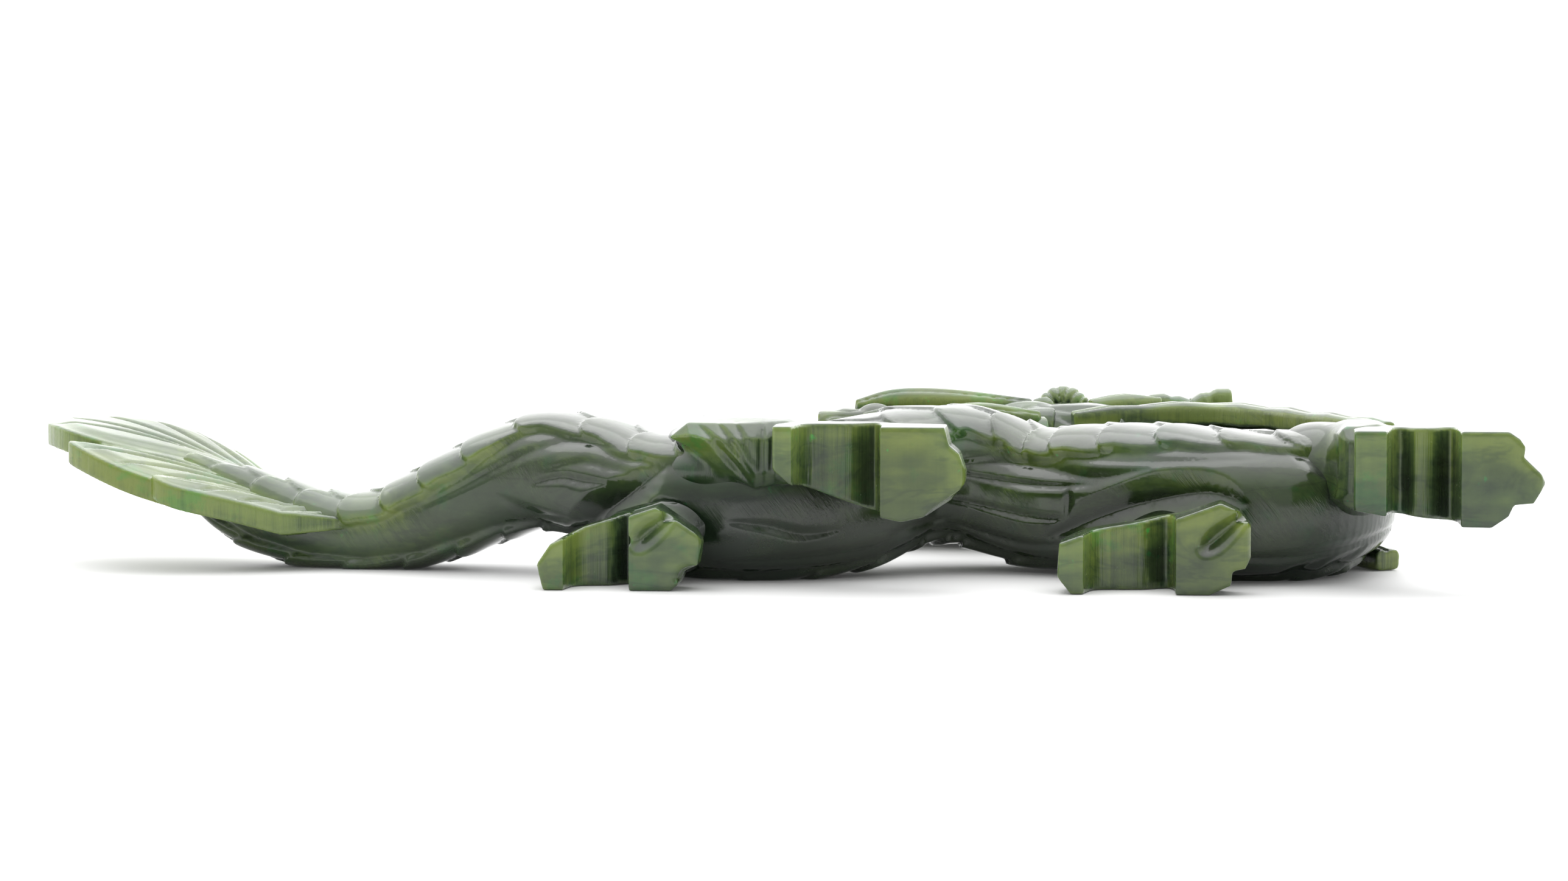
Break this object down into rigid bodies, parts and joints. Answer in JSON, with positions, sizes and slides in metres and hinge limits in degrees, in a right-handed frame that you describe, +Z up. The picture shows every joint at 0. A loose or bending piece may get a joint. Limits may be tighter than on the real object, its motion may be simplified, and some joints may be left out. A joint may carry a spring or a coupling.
{
  "type": "jade dragon figurine",
  "caption": "Carved green jade dragon lying on its side, with a fan-shaped tail, arched back, sawn paws and a head that looks back over its body.",
  "frame": {"origin": "under the middle of the bounding box, on the surface that the carving lies on", "axes": "+X from the tail fan to the forepaws, +Y from the soles to the horns, +Z up through the thickness of the slab"},
  "size_m": [0.2604, 0.1146, 0.0284],
  "materials": {
    "jade_thick": "polished",
    "jade_middle": "polished",
    "jade_thin": "polished, fine saw marks"
  },
  "bodies": {
    "root": {"tail_tip": "jade_thick", "tail_curve": "jade_thick", "tail_rise": "jade_thick", "haunch": "jade_thick", "waist": "jade_thick", "chest": "jade_thick", "neck_base": "jade_thick", "neck_arch": "jade_thick", "head_skull": "jade_middle", "muzzle": "jade_middle", "lower_jaw": "jade_middle", "tongue": "jade_thin", "beard": "jade_thin", "moustache_upper": "jade_thin", "moustache_lower": "jade_thin", "lip_curl_upper": "jade_thin", "lip_curl_lower": "jade_thin", "cheek_lock_upper": "jade_thin", "cheek_lock_lower": "jade_thin", "eye_upper": "jade_thin", "eye_lower": "jade_thin", "brow_upper": "jade_thin", "brow_lower": "jade_thin", "ear_upper": "jade_thin", "ear_lower": "jade_thin", "horn_upper": "jade_thin", "horn_lower": "jade_thin", "nape_strip_upper": "jade_thin", "nape_strip_lower": "jade_thin", "mane_lock_1": "jade_thin", "mane_lock_2": "jade_thin", "mane_lock_3": "jade_thin", "mane_lock_4": "jade_thin", "mane_lock_5": "jade_thin", "hind_upper_thigh": "jade_middle", "hind_upper_shank": "jade_middle", "hind_upper_paw": "jade_thin", "hind_upper_heel_claw": "jade_thin", "hind_lower_thigh": "jade_middle", "hind_lower_shank": "jade_middle", "hind_lower_paw": "jade_thin", "hind_lower_heel_claw": "jade_thin", "fore_lower_thigh": "jade_middle", "fore_lower_shank": "jade_middle", "fore_lower_paw": "jade_thin", "fore_lower_heel_claw": "jade_thin", "fore_upper_thigh": "jade_middle", "fore_upper_shank": "jade_middle", "fore_upper_paw": "jade_thin", "fore_upper_heel_claw": "jade_thin", "fan_near_lobe": "jade_thin", "fan_middle_lobe": "jade_thin", "fan_far_lobe": "jade_thin", "tail_crest": "jade_thin", "back_crest": "jade_thin"}
  },
  "joints": []
}
